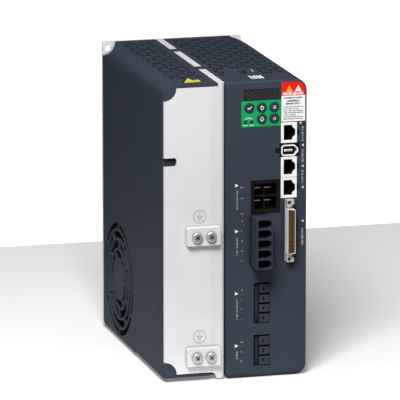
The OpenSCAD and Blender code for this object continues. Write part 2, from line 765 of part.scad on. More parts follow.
// A header on the power board that a plug's nose goes into
module header(x0, x1, z0, z1, gap)
    difference() {
        block([terminal_x, 2.6, z0 - gap - 1.4], [x1 + gap + 1.4, header_deep, z1 + gap + 1.4]);
        block([x0 - gap, 2.6 - over, z0 - gap], [x1 + gap, 13.5, z1 + gap]);
    }

module mains_header() color([0.12, 0.13, 0.15]) place()
    difference() {
        block([terminal_x, 2.6, mains_z0 - 0.3], [terminal_x + 13.8, header_deep, mains_z0 + mains_h + 0.3]);
        block([terminal_x + 0.9, 2.6 - over, mains_z0 + 0.9], [terminal_x + 12.2, 13.5, mains_z0 + mains_h - 0.9]);
    }

// A plug that lies in a recess: each pole has a slot and a groove parts it from the next
module recessed_plug(z0, poles) {
    groove_w = 1.6;
    difference() {
        block([plug_x, -0.6, z0], [plug_x + plug_w, 11, z0 + poles * pole_pitch]);
        for (pole = [1:poles - 1])
            block([plug_x - over, -over, z0 + pole * pole_pitch - groove_w / 2],
                  [plug_x + plug_w + over, 2.4, z0 + pole * pole_pitch + groove_w / 2]);
        for (pole = [0:poles - 1]) {
            z = z0 + (pole + 0.5) * pole_pitch;
            block([plug_x + 5.9, -over, z - 1.3], [plug_x + 6.9, 4, z + 1.3]);
            block([plug_x + 4, 6, z - 2.5], [plug_x + 8, 11 + over, z + 2.5]);
        }
        block([plug_x - over, -over, z0 - over], [plug_x + 3, 2.6, z0 + poles * pole_pitch + over]);
    }
}

module plug_clamps(z0, poles)
    for (pole = [0:poles - 1]) {
        z = z0 + (pole + 0.5) * pole_pitch;
        difference() {
            block([plug_x + 4, 6, z - 2.5], [plug_x + 8, 10.8, z + 2.5]);
            block([plug_x + 4.8, 6.8, z - 1.7], [plug_x + 7.2, 11.8, z + 1.7]);
        }
    }

module motor_plug() color("darkslategray") place() recessed_plug(motor_z0, 4);
module motor_clamps() color("silver") place() plug_clamps(motor_z0, 4);
module motor_header() color([0.12, 0.13, 0.15]) place()
    header(plug_x, plug_x + plug_w, motor_z0, motor_z0 + 4 * pole_pitch, 0.35);
module brake_plug() color("darkslategray") place() recessed_plug(brake_z0, 3);
module brake_clamps() color("silver") place() plug_clamps(brake_z0, 3);
module brake_header() color([0.12, 0.13, 0.15]) place()
    header(plug_x, plug_x + plug_w, brake_z0, brake_z0 + 3 * pole_pitch, 0.35);

module header_pins() color("silver") place() {
    for (pole = [0:4]) {
        z = mains_z0 + (pole + 0.5) * mains_pitch;
        block([terminal_x + 6, 5, z - 0.5], [terminal_x + 7, 13.5, z + 0.5]);
    }
    for (group = [[motor_z0, 4], [brake_z0, 3]], pole = [0:group[1] - 1]) {
        z = group[0] + (pole + 0.5) * pole_pitch;
        block([plug_x + 5.5, 8, z - 0.5], [plug_x + 6.5, 13.5, z + 0.5]);
    }
}

// ---- electronics ----

module board(x, y0, y1, z0, z1)
    difference() {
        block([x, y0, z0], [x + board_t, y1, z1]);
        for (p = standoff_at) rod_x(p[0], p[1], x - over, x + board_t + over, 1.7);
    }

module power_board() color("darkgreen") place() board(power_x, 12, 186, 7, 222);
module control_board() color("darkgreen") place() board(control_x, 16, 186, 7, 222);

module board_standoffs() color("silver") place()
    for (p = standoff_at) {
        translate([duct_w + wall_t, p[0], p[1]]) rotate([0, 90, 0])
            cylinder(d = 7, h = power_x - duct_w - wall_t, $fn = 6);
        difference() {
            translate([power_x + board_t, p[0], p[1]]) rotate([0, 90, 0])
                cylinder(d = 7, h = control_x - power_x - board_t, $fn = 6);
            rod_x(p[0], p[1], control_x - 9, control_x + over, 1.52);
        }
    }

module board_screws() color("silver") place()
    for (p = standoff_at) {
        rod_x(p[0], p[1], control_x - 8, control_x + board_t + 0.01, 1.5);
        rod_x(p[0], p[1], control_x + board_t, control_x + board_t + 1.8, 2.8);
    }

module power_module() color("whitesmoke") place()
    difference() {
        block([duct_w + wall_t, 70, 118], [power_x, 150, 172]);
        for (z = [123, 167])
            rod_x(110, z, duct_w + wall_t - over, power_x + over, 2.2);
    }

module dc_capacitors() color("midnightblue") place()
    for (y = [66, 102], z = [46, 82])
        rod_x(y, z, terminal_x, terminal_x + 35, capacitor_r);

module filter_choke() color("peru") place()
    translate([terminal_x, 140, 190]) rotate([0, 90, 0]) {
        translate([0, 0, 8]) rotate_extrude() translate([16, 0]) circle(r = 6);
        difference() {
            cylinder(r = 14, h = 5);
            translate([0, 0, -over]) cylinder(r = 8, h = 5 + 2 * over);
        }
    }

heat_sink();
earth_screws();
duct_cover();
fan_cover();
fan_frame();
fan_bearings();
fan_stator();
fan_rotor();
fan_shaft();
fan_screws();
bridge_clips();
top_label();
front_cover();
side_casing();
display_window();
display_module();
hmi_board();
key_switches();
keypad_overlay();
ok_button();
up_button();
mode_button();
down_button();
set_button();
status_lights();
danger_label();
serial_jack_shield();
serial_jack_insert();
bus_in_jack_shield();
bus_in_jack_insert();
bus_out_jack_shield();
bus_out_jack_insert();
jack_contacts();
encoder_housing();
encoder_shell();
encoder_tongue();
io_shell();
io_insert();
io_pins();
io_latches();
dc_bus_socket();
dc_bus_blades();
mains_header();
mains_plug();
mains_clamps();
motor_header();
motor_plug();
motor_clamps();
brake_header();
brake_plug();
brake_clamps();
header_pins();
control_board();
power_board();
board_standoffs();
board_screws();
power_module();
dc_capacitors();
filter_choke();
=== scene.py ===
import json
import math
import random

import bmesh
import bpy
from mathutils import Matrix, Vector


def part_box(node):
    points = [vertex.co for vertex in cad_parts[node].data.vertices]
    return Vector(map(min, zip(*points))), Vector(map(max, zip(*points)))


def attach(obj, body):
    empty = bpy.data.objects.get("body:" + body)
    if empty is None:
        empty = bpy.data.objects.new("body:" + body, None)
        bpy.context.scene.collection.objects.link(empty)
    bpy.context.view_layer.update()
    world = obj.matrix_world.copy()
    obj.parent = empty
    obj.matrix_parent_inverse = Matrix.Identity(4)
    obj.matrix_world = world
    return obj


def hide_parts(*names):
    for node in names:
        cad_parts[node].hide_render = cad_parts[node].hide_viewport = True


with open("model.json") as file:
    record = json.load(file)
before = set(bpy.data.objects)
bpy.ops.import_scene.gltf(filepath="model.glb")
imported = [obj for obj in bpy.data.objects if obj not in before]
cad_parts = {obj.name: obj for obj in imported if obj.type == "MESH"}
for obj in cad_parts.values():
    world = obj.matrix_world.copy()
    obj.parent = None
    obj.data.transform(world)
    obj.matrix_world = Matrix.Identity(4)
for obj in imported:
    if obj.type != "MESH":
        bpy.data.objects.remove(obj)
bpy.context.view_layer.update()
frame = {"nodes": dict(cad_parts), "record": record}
print("frame loaded:", len(frame["nodes"]), "nodes")

mm = 0.001
bodyNodes = frame["record"]["behaviour"]["bodies"]
bodyOf = {node: body for body, nodes in bodyNodes.items() for node in nodes}

# places are in millimetres from the drive's left edge, its front face and its base
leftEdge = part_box("heat_sink")[0].x
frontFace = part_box("front_cover")[0].y
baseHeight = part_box("heat_sink")[0].z


def at(x, y, z):
    return Vector((leftEdge + x * mm, frontFace + y * mm, baseHeight + z * mm))


# the finishes: colour fades into tint, and edge is the colour that bevelled edges are painted in patches,
# mostly a painted highlight with a worn look
# grain, mottle and bump are sizes in millimetres, and the hollow shade pair is how far and how much painted
# shade darkens hollows
finishLooks = {
    "cast_aluminium": dict(colour=(0.70, 0.70, 0.715), tint=(0.665, 0.665, 0.68), edge=(0.90, 0.90, 0.91),
                           grain=0.45, mottle=22, bump=0.05, rough=(0.45, 0.58), metal=0.12, gloss=0.35,
                           hollowShade=(3.0, 0.75)),
    "slate_plastic": dict(colour=(0.038, 0.0485, 0.067), tint=(0.035, 0.045, 0.0625),
                          edge=(0.050, 0.062, 0.086), grain=0.35, mottle=30, bump=0.03,
                          rough=(0.50, 0.60), gloss=0.03, hollowShade=(7.0, 0.9)),
    "black_plastic": dict(colour=(0.0045, 0.0045, 0.005), tint=(0.007, 0.007, 0.0075),
                          edge=(0.02, 0.02, 0.021), grain=0.4, mottle=9, bump=0.025, rough=(0.40, 0.55),
                          gloss=0.12, hollowShade=(6.0, 0.8)),
    "dark_plug_plastic": dict(colour=(0.033, 0.042, 0.060), tint=(0.029, 0.037, 0.054),
                              edge=(0.048, 0.060, 0.084), grain=0.4, mottle=8, bump=0.03,
                              rough=(0.46, 0.58), gloss=0.05, hollowShade=(6.0, 0.9)),
    # painted shade: steel painted near black because the clamps and blades sit deep in shadow
    "shadow_dark_steel": dict(colour=(0.010, 0.010, 0.011), tint=(0.016, 0.016, 0.016), edge=(0.03, 0.03, 0.03),
                        grain=0.3, mottle=3, bump=0.02, rough=(0.45, 0.6), metal=0.5, gloss=0.2),
    "screw_steel": dict(colour=(0.50, 0.50, 0.49), tint=(0.40, 0.40, 0.39), edge=(0.7, 0.7, 0.68),
                        grain=0.25, mottle=5, bump=0.02, rough=(0.26, 0.42), metal=0.6,
                        hollowShade=(2.5, 0.97)),
    # painted highlight: grey for the lit key ribs in the black bus socket
    "rib_highlight_grey": dict(colour=(0.16, 0.16, 0.155), tint=(0.12, 0.12, 0.115), edge=(0.2, 0.2, 0.2),
                     grain=0.3, mottle=3, bump=0.02, rough=(0.45, 0.58), gloss=0.2),
    "faded_ink": dict(colour=(0.50, 0.51, 0.53), tint=(0.38, 0.39, 0.41), edge=(0.5, 0.5, 0.5), grain=0.2,
                      mottle=2, bump=0.008, rough=(0.45, 0.6), gloss=0.2),
    # painted shade: a darker grey than the plate for the shading of the cast earth signs
    "emboss_shade_grey": dict(colour=(0.47, 0.47, 0.485), tint=(0.42, 0.42, 0.435), edge=(0.6, 0.6, 0.6),
                        grain=0.3, mottle=4, bump=0.02, rough=(0.45, 0.58)),
    "fan_plastic": dict(colour=(0.007, 0.007, 0.008), tint=(0.012, 0.012, 0.013),
                        edge=(0.025, 0.025, 0.027), grain=0.3, mottle=14, bump=0.02, rough=(0.34, 0.5)),
    "plated_steel": dict(colour=(0.76, 0.75, 0.73), tint=(0.66, 0.66, 0.645), edge=(0.85, 0.85, 0.83),
                         grain=0.25, mottle=5, bump=0.02, rough=(0.24, 0.40), metal=0.5,
                         hollowShade=(2.5, 0.95)),
    "nickel_shield": dict(colour=(0.92, 0.92, 0.915), tint=(0.86, 0.86, 0.855), edge=(0.94, 0.94, 0.94),
                          grain=0.3, mottle=6, bump=0.012, rough=(0.32, 0.46), metal=0.1,
                          hollowShade=(2.5, 0.8)),
    "gold_contacts": dict(colour=(0.82, 0.58, 0.24), tint=(0.70, 0.47, 0.17), edge=(0.95, 0.75, 0.42),
                          grain=0.2, mottle=3, bump=0.01, rough=(0.20, 0.34), metal=1.0),
    "green_overlay": dict(colour=(0.007, 0.345, 0.105), tint=(0.006, 0.30, 0.090),
                          edge=(0.02, 0.42, 0.15), grain=0.3, mottle=10, bump=0.015, rough=(0.38, 0.50),
                          gloss=0.15),
    "button_plastic": dict(colour=(0.016, 0.030, 0.040), tint=(0.012, 0.024, 0.033),
                           edge=(0.03, 0.06, 0.065), grain=0.3, mottle=5, bump=0.02, rough=(0.38, 0.5)),
    "smoked_window": dict(colour=(0.019, 0.021, 0.027), tint=(0.016, 0.018, 0.023),
                          edge=(0.03, 0.035, 0.045), grain=0.6, mottle=14, bump=0.006, rough=(0.22, 0.30),
                          gloss=0.15),
    "display_grey": dict(colour=(0.06, 0.06, 0.062), tint=(0.05, 0.05, 0.052), edge=(0.1, 0.1, 0.1),
                         grain=0.3, mottle=6, bump=0.02, rough=(0.45, 0.6)),
    "lamp_green": dict(colour=(0.004, 0.05, 0.022), tint=(0.003, 0.035, 0.016), edge=(0.01, 0.10, 0.05),
                       grain=0.5, mottle=2, bump=0.01, rough=(0.14, 0.22)),
    "danger_print": dict(colour=(0.76, 0.016, 0.006), tint=(0.68, 0.012, 0.005), edge=(0.5, 0.02, 0.015),
                         grain=0.3, mottle=7, bump=0.01, rough=(0.40, 0.52), gloss=0.15),
    "yellow_print": dict(colour=(0.66, 0.62, 0.07), tint=(0.58, 0.54, 0.05), edge=(0.5, 0.46, 0.05),
                         grain=0.3, mottle=4, bump=0.01, rough=(0.36, 0.5)),
    "white_core": dict(colour=(0.80, 0.79, 0.76), tint=(0.74, 0.73, 0.70), edge=(0.9, 0.9, 0.88),
                       grain=0.3, mottle=5, bump=0.02, rough=(0.36, 0.5)),
    "brown_insert": dict(colour=(0.085, 0.030, 0.010), tint=(0.060, 0.020, 0.007),
                         edge=(0.16, 0.07, 0.03), grain=0.35, mottle=5, bump=0.02, rough=(0.4, 0.55)),
    "circuit_board": dict(colour=(0.006, 0.085, 0.035), tint=(0.010, 0.125, 0.050),
                          edge=(0.35, 0.33, 0.18), grain=0.3, mottle=6, bump=0.03, rough=(0.28, 0.42)),
    "copper_coil": dict(colour=(0.62, 0.24, 0.10), tint=(0.45, 0.15, 0.055), edge=(0.8, 0.4, 0.2),
                        grain=0.3, mottle=3, bump=0.02, rough=(0.26, 0.4), metal=1.0),
    "module_case": dict(colour=(0.62, 0.61, 0.57), tint=(0.55, 0.54, 0.50), edge=(0.75, 0.74, 0.7),
                        grain=0.4, mottle=12, bump=0.03, rough=(0.42, 0.55)),
    "capacitor_sleeve": dict(colour=(0.012, 0.016, 0.055), tint=(0.009, 0.011, 0.040),
                             edge=(0.04, 0.045, 0.1), grain=0.5, mottle=9, bump=0.012,
                             rough=(0.20, 0.32)),
    "white_ink": dict(colour=(0.86, 0.87, 0.88), tint=(0.74, 0.75, 0.77), edge=(0.9, 0.9, 0.9), grain=0.2,
                      mottle=2, bump=0.008, rough=(0.45, 0.6)),
    "grey_ink": dict(colour=(0.33, 0.345, 0.37), tint=(0.26, 0.27, 0.295), edge=(0.3, 0.3, 0.3),
                     grain=0.2, mottle=2, bump=0.008, rough=(0.45, 0.6)),
    "dark_red_print": dict(colour=(0.22, 0.010, 0.008), tint=(0.18, 0.008, 0.007), edge=(0.2, 0.01, 0.01),
                           grain=0.3, mottle=7, bump=0.01, rough=(0.40, 0.52)),
    "small_print": dict(colour=(0.075, 0.077, 0.085), tint=(0.05, 0.052, 0.058), edge=(0.1, 0.1, 0.1),
                        grain=0.2, mottle=2, bump=0.008, rough=(0.45, 0.6)),
    "label_paper": dict(colour=(0.86, 0.86, 0.86), tint=(0.80, 0.80, 0.81), edge=(0.7, 0.7, 0.7),
                        grain=0.25, mottle=6, bump=0.01, rough=(0.4, 0.52)),
    "amber_print": dict(colour=(0.92, 0.42, 0.035), tint=(0.84, 0.35, 0.025), edge=(0.8, 0.35, 0.03),
                        grain=0.3, mottle=4, bump=0.01, rough=(0.36, 0.48)),
    "black_ink": dict(colour=(0.010, 0.010, 0.011), tint=(0.018, 0.018, 0.019), edge=(0.03, 0.03, 0.03),
                      grain=0.25, mottle=3, bump=0.01, rough=(0.42, 0.55)),
    "unlit_segment": dict(colour=(0.046, 0.036, 0.030), tint=(0.038, 0.030, 0.026),
                          edge=(0.05, 0.04, 0.035), grain=0.3, mottle=2, bump=0.01, rough=(0.3, 0.4)),
}

# what all the finishes share, with the colour, samples and range of the painted shade in hollows
surfaceLook = dict(mottleDetail=3, grainDetail=2, highlightAndWear=(0.45, 0.9), hollowShadeColour=(0.001, 0.001, 0.001),
                   hollowShadeSamples=12, hollowShadeRange=(0.2, 0.9), bumpStrength=0.6, ior=1.45, gloss=0.5)


def addNode(tree, kind, place, **settings):
    node = tree.nodes.new(kind)
    node.location = place
    for key, value in settings.items():
        setattr(node, key, value)
    return node


def noiseNode(tree, coordinates, size, detail, place):
    noise = addNode(tree, "ShaderNodeTexNoise", place)
    noise.inputs["Scale"].default_value = 1 / (size * mm)
    noise.inputs["Detail"].default_value = detail
    tree.links.new(coordinates.outputs["Object"], noise.inputs["Vector"])
    return noise


def mixNode(tree, factor, first, second, place):
    mix = addNode(tree, "ShaderNodeMix", place, data_type="RGBA")
    tree.links.new(factor, mix.inputs["Factor"])
    for socket, value in ((mix.inputs["A"], first), (mix.inputs["B"], second)):
        if isinstance(value, tuple):
            socket.default_value = (*value, 1)
        else:
            tree.links.new(value, socket)
    return mix.outputs["Result"]


def rangeNode(tree, value, low, high, place, start=0.3, end=0.7):
    span = addNode(tree, "ShaderNodeMapRange", place)
    span.inputs["From Min"].default_value = start
    span.inputs["From Max"].default_value = end
    span.inputs["To Min"].default_value = low
    span.inputs["To Max"].default_value = high
    tree.links.new(value, span.inputs["Value"])
    return span.outputs["Result"]


def makeFinish(name, look):
    material = bpy.data.materials.new(name)
    material.use_nodes = True
    tree = material.node_tree
    shader = tree.nodes["Principled BSDF"]
    coordinates = addNode(tree, "ShaderNodeTexCoord", (-1200, 0))
    mottle = noiseNode(tree, coordinates, look["mottle"], surfaceLook["mottleDetail"], (-1000, 300))
    grain = noiseNode(tree, coordinates, look["grain"], surfaceLook["grainDetail"], (-1000, -200))
    spread = rangeNode(tree, mottle.outputs["Fac"], 0, 1, (-800, 300))
    colour = mixNode(tree, spread, look["colour"], look["tint"], (-600, 300))
    # painted highlight and wear: the bevels' faces are painted towards the edge colour where the mottle
    # allows
    highlightAndWear = addNode(tree, "ShaderNodeAttribute", (-1000, 600), attribute_name="edgeHighlightAndWear")
    highlightAndWearPatch = addNode(tree, "ShaderNodeMath", (-600, 600), operation="MULTIPLY")
    patches = rangeNode(tree, mottle.outputs["Fac"], *surfaceLook["highlightAndWear"], (-800, 600))
    tree.links.new(highlightAndWear.outputs["Fac"], highlightAndWearPatch.inputs[0])
    tree.links.new(patches, highlightAndWearPatch.inputs[1])
    surface = mixNode(tree, highlightAndWearPatch.outputs[0], colour, look["edge"], (-400, 300))
    # painted shade: ambient occlusion mixes the colour towards near black in hollows, crevices and gaps
    # between parts
    if "hollowShade" in look:
        reach, strength = look["hollowShade"]
        hollowShadeNode = addNode(tree, "ShaderNodeAmbientOcclusion", (-400, 600))
        hollowShadeNode.samples = surfaceLook["hollowShadeSamples"]
        hollowShadeNode.inputs["Distance"].default_value = reach * mm
        start, end = surfaceLook["hollowShadeRange"]
        depth = rangeNode(tree, hollowShadeNode.outputs["AO"], 1 - strength, 1, (-200, 600), start, end)
        surface = mixNode(tree, depth, surfaceLook["hollowShadeColour"], surface, (-200, 300))
    roughness = rangeNode(tree, grain.outputs["Fac"], *look["rough"], (-600, -100))
    tree.links.new(surface, shader.inputs["Base Color"])
    tree.links.new(roughness, shader.inputs["Roughness"])
    bump = addNode(tree, "ShaderNodeBump", (-400, -300))
    bump.inputs["Strength"].default_value = surfaceLook["bumpStrength"]
    bump.inputs["Distance"].default_value = look["bump"] * mm
    tree.links.new(grain.outputs["Fac"], bump.inputs["Height"])
    tree.links.new(bump.outputs["Normal"], shader.inputs["Normal"])
    shader.inputs["Metallic"].default_value = look.get("metal", 0)
    shader.inputs["IOR"].default_value = surfaceLook["ior"]
    shader.inputs["Specular IOR Level"].default_value = look.get("gloss", surfaceLook["gloss"])
    shader.inputs["Emission Color"].default_value = (1, 1, 1, 1)
    shader.inputs["Emission Strength"].default_value = look.get("glow", 0)
    return material


finishes = {name: makeFinish(name, look) for name, look in finishLooks.items()}
slotOf = {}
for nodeName, cadObject in frame["nodes"].items():
    slotOf[nodeName] = cadObject.data.materials[0].name.split(".")[0]
    cadObject.material_slots[0].material = finishes[slotOf[nodeName]]
print("finishes made:", len(finishes))

# how every piece is merged and shaded: weld and same in millimetres, the angles in degrees
mergeLook = dict(weld=0.005, same=0.001, flat=0.6, softenOver=30, smoothUnder=38)


def finishPiece(bm, pieceName, finish, body="drive", replaced=()):
    mesh = bpy.data.meshes.new(pieceName)
    bm.to_mesh(mesh)
    bm.free()
    mesh.materials.clear()
    mesh.materials.append(finishes[finish])
    for polygon in mesh.polygons:
        polygon.use_smooth = True
    mesh.set_sharp_from_angle(angle=math.radians(mergeLook["smoothUnder"]))
    piece = bpy.data.objects.new(pieceName, mesh)
    bpy.context.scene.collection.objects.link(piece)
    shading = piece.modifiers.new("evenShading", "WEIGHTED_NORMAL")
    shading.keep_sharp = True
    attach(piece, body)
    if replaced:
        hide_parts(*replaced)
    return piece


def mergedCopy(node, joinFlat=True):
    mesh = frame["nodes"][node].data.copy()
    for name in [layer.name for layer in mesh.attributes if "normal" in layer.name]:
        mesh.attributes.remove(mesh.attributes[name])
    bm = bmesh.new()
    bm.from_mesh(mesh)
    bpy.data.meshes.remove(mesh)
    bmesh.ops.remove_doubles(bm, verts=bm.verts, dist=mergeLook["weld"] * mm)
    if joinFlat:
        limit = math.radians(mergeLook["flat"])
        bmesh.ops.dissolve_limit(bm, angle_limit=limit, verts=bm.verts, edges=bm.edges)
    bm.faces.layers.float.new("edgeHighlightAndWear")
    return bm


def sharpEdges(bm):
    limit = math.radians(mergeLook["softenOver"])
    return [edge for edge in bm.edges if edge.is_manifold and edge.calc_face_angle() > limit]


def bevelEdges(bm, edges, width, segments):
    highlightAndWearLayer = bm.faces.layers.float["edgeHighlightAndWear"]
    made = bmesh.ops.bevel(bm, geom=edges, offset=width * mm, offset_type="OFFSET", segments=segments,
                           profile=0.5, affect="EDGES", material=-1, clamp_overlap=True)
    # the bevel's new faces are marked for the painted edge highlight and wear
    for face in made["faces"]:
        face[highlightAndWearLayer] = 1.0


# a CAD node's shape again, with its edges softened by a small round
# the front cover keeps its triangles, because its many openings leave no clean flat face
def softened(node, pieceName, width, segments=2, shape=None, finish=None):
    bm = mergedCopy(node, node != "front_cover")
    if shape:
        shape(bm)
    bevelEdges(bm, sharpEdges(bm), width, segments)
    return finishPiece(bm, pieceName, finish or slotOf[node], bodyOf[node], (node,))


# each moulded or pressed piece: its name, the width of its edge rounds in millimetres, their segments
softening = {
    "duct_cover": ("ductShell", 0.35, 2),
    "fan_cover": ("fanPanel", 0.3, 2),
    "front_cover": ("frontMask", 0.25, 2),
    "side_casing": ("casingShell", 0.3, 2),
    "bridge_clips": ("wallBridges", 0.3, 2),
    "fan_frame": ("fanFrame", 0.4, 2),
    "fan_rotor": ("fanRotor", 0.3, 2),
    "fan_screws": ("fanScrews", 0.3, 2),
    "keypad_overlay": ("keypadOverlay", 0.12, 2),
    "status_lights": ("statusLights", 0.45, 3),
    "display_window": ("displayWindow", 0.15, 2),
    "serial_jack_shield": ("serialJackShield", 0.25, 2),
    "serial_jack_insert": ("serialJackInsert", 0.12, 1),
    "bus_in_jack_shield": ("busInJackShield", 0.25, 2),
    "bus_in_jack_insert": ("busInJackInsert", 0.12, 1),
    "bus_out_jack_shield": ("busOutJackShield", 0.25, 2),
    "bus_out_jack_insert": ("busOutJackInsert", 0.12, 1),
    "encoder_housing": ("encoderSurround", 0.25, 2),
    "encoder_shell": ("encoderShell", 0.25, 2),
    "encoder_tongue": ("encoderTongue", 0.2, 2),
    "io_shell": ("ioShell", 0.2, 2),
    "io_latches": ("ioLatches", 0.35, 2),
    "dc_bus_socket": ("dcBusSocket", 0.3, 2),
    "mains_plug": ("mainsPlug", 0.3, 2),
    "mains_header": ("mainsHeader", 0.3, 2),
    "motor_plug": ("motorPlug", 0.3, 2),
    "motor_header": ("motorHeader", 0.3, 2),
    "brake_plug": ("brakePlug", 0.3, 2),
    "brake_header": ("brakeHeader", 0.3, 2),
    "ok_button": ("okButton", 0.35, 3),
    "up_button": ("upButton", 0.35, 3),
    "mode_button": ("modeButton", 0.35, 3),
    "down_button": ("downButton", 0.35, 3),
    "set_button": ("setButton", 0.35, 3),
}
for nodeName, (pieceName, width, segments) in softening.items():
    softened(nodeName, pieceName, width, segments)

# the clamps and blades deep in their plugs and sockets are steel painted near black: painted shade for how
# deep they sit
clampLook = dict(width=0.12, segments=1, finish="shadow_dark_steel",
                 pieces={"mains_clamps": "mainsClamps", "motor_clamps": "motorClamps",
                         "brake_clamps": "brakeClamps", "dc_bus_blades": "busBlades"})
for nodeName, pieceName in clampLook["pieces"].items():
    softened(nodeName, pieceName, clampLook["width"], clampLook["segments"], finish=clampLook["finish"])
print("softened pieces made:", len(softening) + len(clampLook["pieces"]))

# the cast front of the heat sink: two drafted earth pads, a slope from the crease to the wall, its round edge
sinkLook = dict(padX=32.3, padZ=(19.8, 117), padSide=13.3, padTop=7.2, padDraft=(0.4, 0.6), padRim=2,
                creaseX=(38.3, 38.8, 45.9), slope=0.085, edgeRound=4.1, wallRight=50.4, edgeSoft=0.45,
                near=0.1, level=0.05)


def isLevel(vert, within):
    return abs(vert.co.y - frontFace) < within * mm


# the edge of a pad's foot moves out, so that its four sides lean
def draftPad(bm, centre):
    side, top = sinkLook["padSide"], sinkLook["padTop"]
    near, rim = sinkLook["near"], sinkLook["padRim"]
    foot = []
    for vert in bm.verts:
        across, up = abs(vert.co.x - centre.x), abs(vert.co.z - centre.z)
        inside = across < (side + near) * mm and up < (top + near) * mm
        outer = across > (side - rim) * mm or up > (top - rim) * mm
        if inside and outer and isLevel(vert, near):
            foot.append(vert)
    draftX, draftZ = sinkLook["padDraft"]
    bmesh.ops.scale(bm, verts=foot, space=Matrix.Translation(-centre),
                    vec=(1 + draftX / side, 1, 1 + draftZ / top))


def shapeSink(bm):
    for padZ in sinkLook["padZ"]:
        draftPad(bm, at(sinkLook["padX"], 0, padZ))
    for creaseX in sinkLook["creaseX"]:
        faces = [face for face in bm.faces if all(isLevel(vert, sinkLook["level"]) for vert in face.verts)]
        edges = dict.fromkeys(edge for face in faces for edge in face.edges)
        verts = dict.fromkeys(vert for face in faces for vert in face.verts)
        bmesh.ops.bisect_plane(bm, geom=[*faces, *edges, *verts], dist=mergeLook["same"] * mm,
                               plane_co=at(creaseX, 0, 0), plane_no=(1, 0, 0))
    roundDepth = sinkLook["edgeRound"] * mm
    cornerX = max(vert.co.x for vert in bm.verts if isLevel(vert, sinkLook["level"]))
    wallX = at(sinkLook["wallRight"], 0, 0).x
    stretch = roundDepth / (wallX - cornerX)
    for vert in bm.verts:
        if vert.co.x > cornerX - sinkLook["level"] * mm and vert.co.y < frontFace + roundDepth:
            vert.co.x = wallX - (wallX - vert.co.x) * stretch
    firstX = at(sinkLook["creaseX"][0], 0, 0).x
    for vert in bm.verts:
        depth = (vert.co.y - frontFace) / roundDepth
        if vert.co.x > firstX and -0.01 < depth < 1:
            vert.co.y += (vert.co.x - firstX) * sinkLook["slope"] * (1 - depth)


softened("heat_sink", "heatSink", sinkLook["edgeSoft"], 2, shapeSink)
print("heat sink made")

# the heads of the earth screws are domed beyond the rim radius
screwLook = dict(x=32.3, apart=5.65, z=(19.8, 117), rim=3.9, dome=1.1, domeSegments=4, soft=0.15, near=0.02,
                 finish="screw_steel")
screwCentres = [at(screwLook["x"] + side * screwLook["apart"], 0, z)
                for z in screwLook["z"] for side in (-1, 1)]


def isOnRim(vert, top):
    reach = min(math.hypot(vert.co.x - centre.x, vert.co.z - centre.z) for centre in screwCentres)
    return abs(vert.co.y - top) < screwLook["near"] * mm and reach > screwLook["rim"] * mm


def shapeScrews(bm):
    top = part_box("earth_screws")[0].y
    rim = [edge for edge in sharpEdges(bm) if all(isOnRim(vert, top) for vert in edge.verts)]
    bevelEdges(bm, rim, screwLook["dome"], screwLook["domeSegments"])


softened("earth_screws", "earthScrews", screwLook["soft"], 2, shapeScrews, screwLook["finish"])
print("earth screws made")


# thin plates for print, embossed lines and small inner mouldings
def raisePlate(bm, corners, push):
    face = bm.faces.new([bm.verts.new(corner) for corner in corners])
    moved = bmesh.ops.extrude_face_region(bm, geom=[face])["geom"]
    bmesh.ops.translate(bm, verts=[part for part in moved if isinstance(part, bmesh.types.BMVert)], vec=push)


def frontPlate(bm, outline, y=0.0, thick=0.05):
    raisePlate(bm, [at(x, y, z) for x, z in outline], (0, -thick * mm, 0))


def topPlate(bm, outline, z, thick=0.05):
    raisePlate(bm, [at(x, y, z) for x, y in outline], (0, 0, thick * mm))


def bar(x, z, width, height):
    return [(x - width / 2, z - height / 2), (x + width / 2, z - height / 2),
            (x + width / 2, z + height / 2), (x - width / 2, z + height / 2)]


def frontRing(bm, x, z, radius, stroke, y=0.0, thick=0.05, sweep=360, start=0):
    inner, outer = radius - stroke / 2, radius + stroke / 2
    corners = ((inner, 0), (outer, 0), (outer, thick), (inner, thick))
    profile = [bm.verts.new(at(x + reach, y - rise, z)) for reach, rise in corners]
    face = bm.faces.new(profile)
    centre = at(x, y, z)
    if start:
        turn = Matrix.Rotation(math.radians(start), 3, "Y")
        bmesh.ops.rotate(bm, verts=profile, cent=centre, matrix=turn)
    bmesh.ops.spin(bm, geom=[face], cent=centre, axis=(0, 1, 0), angle=math.radians(sweep), steps=28,
                   use_merge=sweep == 360, use_duplicate=False)
    inside = [face for face in bm.faces if all(len(edge.link_faces) > 2 for edge in face.edges)]
    bmesh.ops.delete(bm, geom=inside, context="FACES_ONLY")


# the plates of a piece stay separate closed shells, so that where they touch each still faces outwards
def facedOut(bm):
    bmesh.ops.recalc_face_normals(bm, faces=bm.faces)
    return bm


def frontMiddle(node):
    low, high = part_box(node)
    return ((low.x + high.x) / 2 - leftEdge) / mm, ((low.z + high.z) / 2 - baseHeight) / mm


# the shares of a word's height, and the widths and gaps of its strokes
strokeLook = dict(tall=(1, 1, 0.7), wide=(0.34, 0.42, 0.6), gap=(0.3, 0.36, 0.8), last=0.4)


# strokes in a row that stand for a printed word, running up or to the right
def wordStrokes(bm, x, z, length, height, seed, upright=True, y=0.0, gap=1.0):
    draw = random.Random(seed)
    place = 0.0
    while place < length - strokeLook["last"]:
        tall = height * draw.choice(strokeLook["tall"])
        wide = draw.choice(strokeLook["wide"])
        if upright:
            frontPlate(bm, bar(x - height / 2 + tall / 2, z + place + wide / 2, tall, wide), y)
        else:
            frontPlate(bm, bar(x + place + wide / 2, z - height / 2 + tall / 2, wide, tall), y)
        place += wide + gap * draw.choice(strokeLook["gap"])


